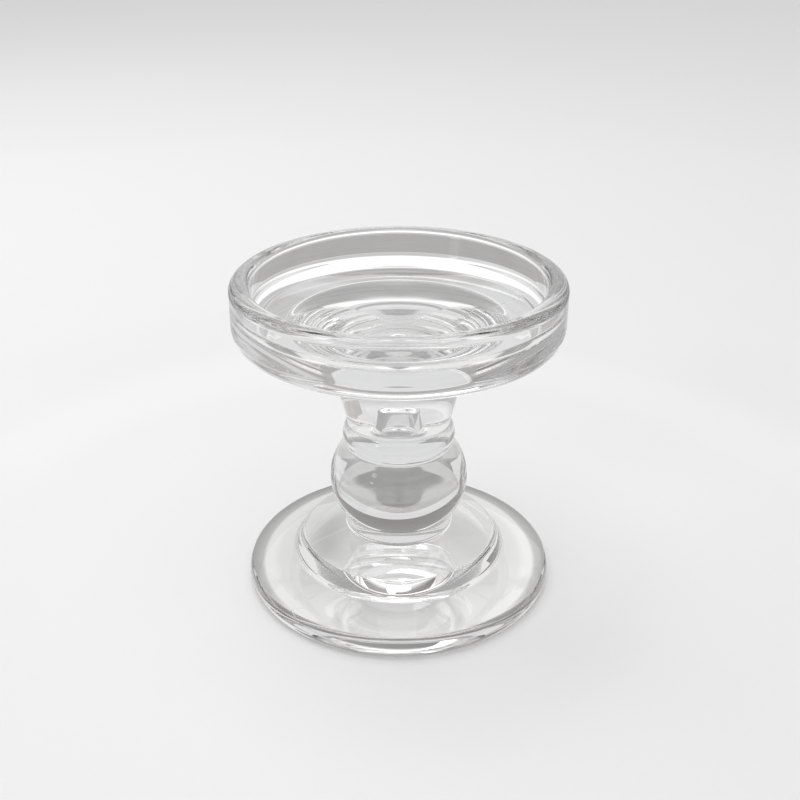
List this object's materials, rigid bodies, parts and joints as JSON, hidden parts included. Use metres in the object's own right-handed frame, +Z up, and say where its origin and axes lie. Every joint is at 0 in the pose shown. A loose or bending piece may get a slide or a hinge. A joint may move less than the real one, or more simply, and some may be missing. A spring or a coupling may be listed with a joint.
{
  "type": "pillar candle holder",
  "caption": "Clear pressed glass pillar candle holder: a shallow rimmed dish on a trumpet neck, bead and ball knop over a stepped round foot.",
  "frame": {"origin": "centre of the foot's base, on the surface that the holder stands on", "axes": "+Z up along the turning axis, from the foot to the candle dish; X and Y are alike"},
  "size_m": [0.1, 0.1, 0.1025],
  "materials": {
    "foot_glass": "clear, fire polished",
    "stem_glass": "clear, fire polished",
    "dish_glass": "clear, fire polished"
  },
  "bodies": {
    "root": {"foot_flange": "foot_glass", "foot_dome": "foot_glass", "knop_base": "stem_glass", "ball_knop": "stem_glass", "collar_ring": "stem_glass", "neck": "stem_glass", "candle_dish": "dish_glass"}
  },
  "joints": []
}
